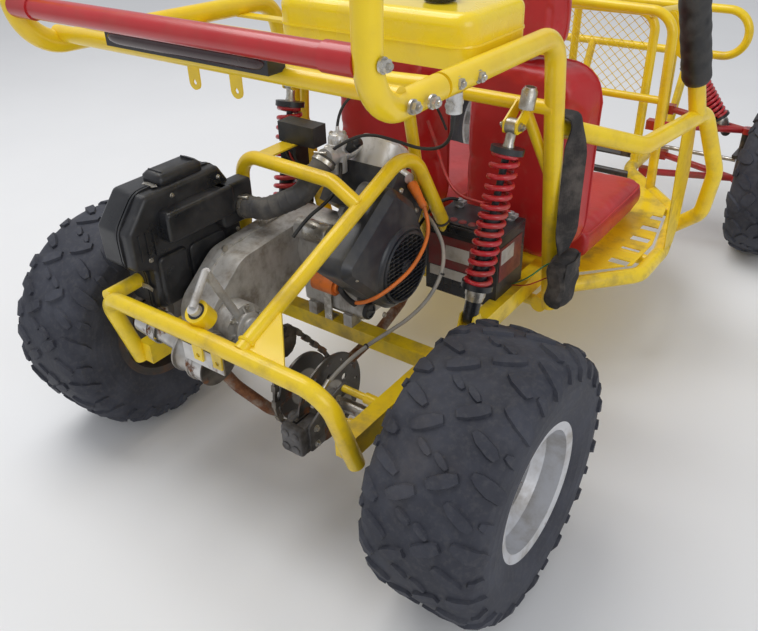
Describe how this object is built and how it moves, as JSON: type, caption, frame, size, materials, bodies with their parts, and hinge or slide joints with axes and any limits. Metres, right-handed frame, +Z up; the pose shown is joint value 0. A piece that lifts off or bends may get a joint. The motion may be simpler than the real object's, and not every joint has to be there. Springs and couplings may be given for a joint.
{
  "type": "two-seat off-road kart",
  "caption": "Off-road two-seat kart: tube frame and roll cage, rear swing arm with open scooter engine, lugged tyres, coil-sprung suspension, working steering.",
  "frame": {"origin": "on the ground below the middle of the kart's box", "axes": "+X is the kart's right, +Y is forward, +Z is up"},
  "size_m": [1.408, 2.37, 1.506],
  "materials": {
    "black_plastic": "matt",
    "black_rubber": "matt",
    "bright_steel": "satin",
    "dark_lens": "gloss",
    "engine_alloy": "cast, dusty",
    "grey_sheath": "satin",
    "orange_rubber": "satin",
    "red_paint": "gloss",
    "red_vinyl": "smooth vinyl",
    "rusty_steel": "rusty",
    "silver_alloy": "satin",
    "silver_rim": "satin silver",
    "tyre_rubber": "matt, dusty",
    "webbing": "woven",
    "yellow_mesh": "expanded mesh",
    "yellow_paint": "gloss, worn",
    "yellow_plastic": "gloss"
  },
  "bodies": {
    "chassis": {"air_box": "black_plastic", "battery": "black_plastic", "belt_case": "engine_alloy", "belt_pouches": "webbing", "brake_cable": "grey_sheath", "brake_caliper": "silver_alloy", "carburettor": "silver_alloy", "coil_springs": "red_paint", "coil_strap": "bright_steel", "cylinder_head": "silver_alloy", "dampers": "black_plastic", "drive_chain": "rusty_steel", "electrics": "black_plastic", "engine_arch": "yellow_paint", "engine_block": "engine_alloy", "fan_shroud": "black_plastic", "floor_pan": "yellow_paint", "front_arms": "red_paint", "front_bumper": "yellow_paint", "front_frame": "yellow_paint", "fuel_cap": "black_plastic", "fuel_hose": "black_rubber", "fuel_tank": "yellow_plastic", "fuel_tap": "bright_steel", "header_pipe": "rusty_steel", "headrests": "red_vinyl", "ignition_coil": "orange_rubber", "ignition_lead": "orange_rubber", "intake_hose": "black_rubber", "lower_frame": "yellow_paint", "mesh_guard": "yellow_mesh", "muffler": "bright_steel", "pedals": "black_plastic", "pillar_sleeves": "black_plastic", "rear_bush": "black_rubber", "rear_cross_bar": "red_paint", "rear_frame": "yellow_paint", "roll_cage": "yellow_paint", "seat_backs": "red_vinyl", "seat_belts": "webbing", "seat_cushions": "red_vinyl", "side_bars": "yellow_paint", "side_panels": "yellow_paint", "steering_rack": "bright_steel", "swing_arm": "yellow_paint", "swing_arm_hoop": "yellow_paint", "tail_light": "dark_lens"},
    "rear_axle": {"rear_axle": "bright_steel", "rear_wheels": "silver_rim", "rear_tyres": "tyre_rubber"},
    "steering": {"steering_column": "black_plastic", "steering_wheel": "black_rubber"},
    "tie_rods": {"tie_rods": "bright_steel"},
    "knuckle_left": {"knuckle_left": "red_paint"},
    "knuckle_right": {"knuckle_right": "red_paint"},
    "front_wheel_left": {"front_wheel_left": "silver_rim", "front_tyre_left": "tyre_rubber"},
    "front_wheel_right": {"front_wheel_right": "silver_rim", "front_tyre_right": "tyre_rubber"}
  },
  "joints": [
    {"name": "rear_axle_spin", "type": "hinge", "parent": "chassis", "child": "rear_axle", "pos_m": [0, -0.908, 0.28], "axis": [1, 0, 0], "continuous": true},
    {"name": "steering_turn", "type": "hinge", "parent": "chassis", "child": "steering", "pos_m": [-0.205, 0.202, 0.8], "axis": [0, -0.8517, 0.5241], "range_deg": [-60, 60]},
    {"name": "tie_rod_slide", "type": "slide", "parent": "chassis", "child": "tie_rods", "axis": [1, 0, 0], "range_m": [-0.0371, 0.0371]},
    {"name": "left_knuckle_turn", "type": "hinge", "parent": "chassis", "child": "knuckle_left", "pos_m": [-0.5, 0.892, 0.267], "axis": [0, 0, 1], "range_deg": [-24.1, 24.1]},
    {"name": "right_knuckle_turn", "type": "hinge", "parent": "chassis", "child": "knuckle_right", "pos_m": [0.5, 0.892, 0.267], "axis": [0, 0, 1], "range_deg": [-24.1, 24.1]},
    {"name": "left_front_wheel_spin", "type": "hinge", "parent": "knuckle_left", "child": "front_wheel_left", "pos_m": [-0.615, 0.892, 0.267], "axis": [1, 0, 0], "continuous": true},
    {"name": "right_front_wheel_spin", "type": "hinge", "parent": "knuckle_right", "child": "front_wheel_right", "pos_m": [0.615, 0.892, 0.267], "axis": [1, 0, 0], "continuous": true}
  ],
  "couplings": [
    {"joint": "tie_rod_slide", "follows": "steering_turn", "m_per_rad": 0.034956},
    {"joint": "left_knuckle_turn", "follows": "steering_turn", "ratio": 0.4},
    {"joint": "right_knuckle_turn", "follows": "steering_turn", "ratio": 0.4}
  ]
}
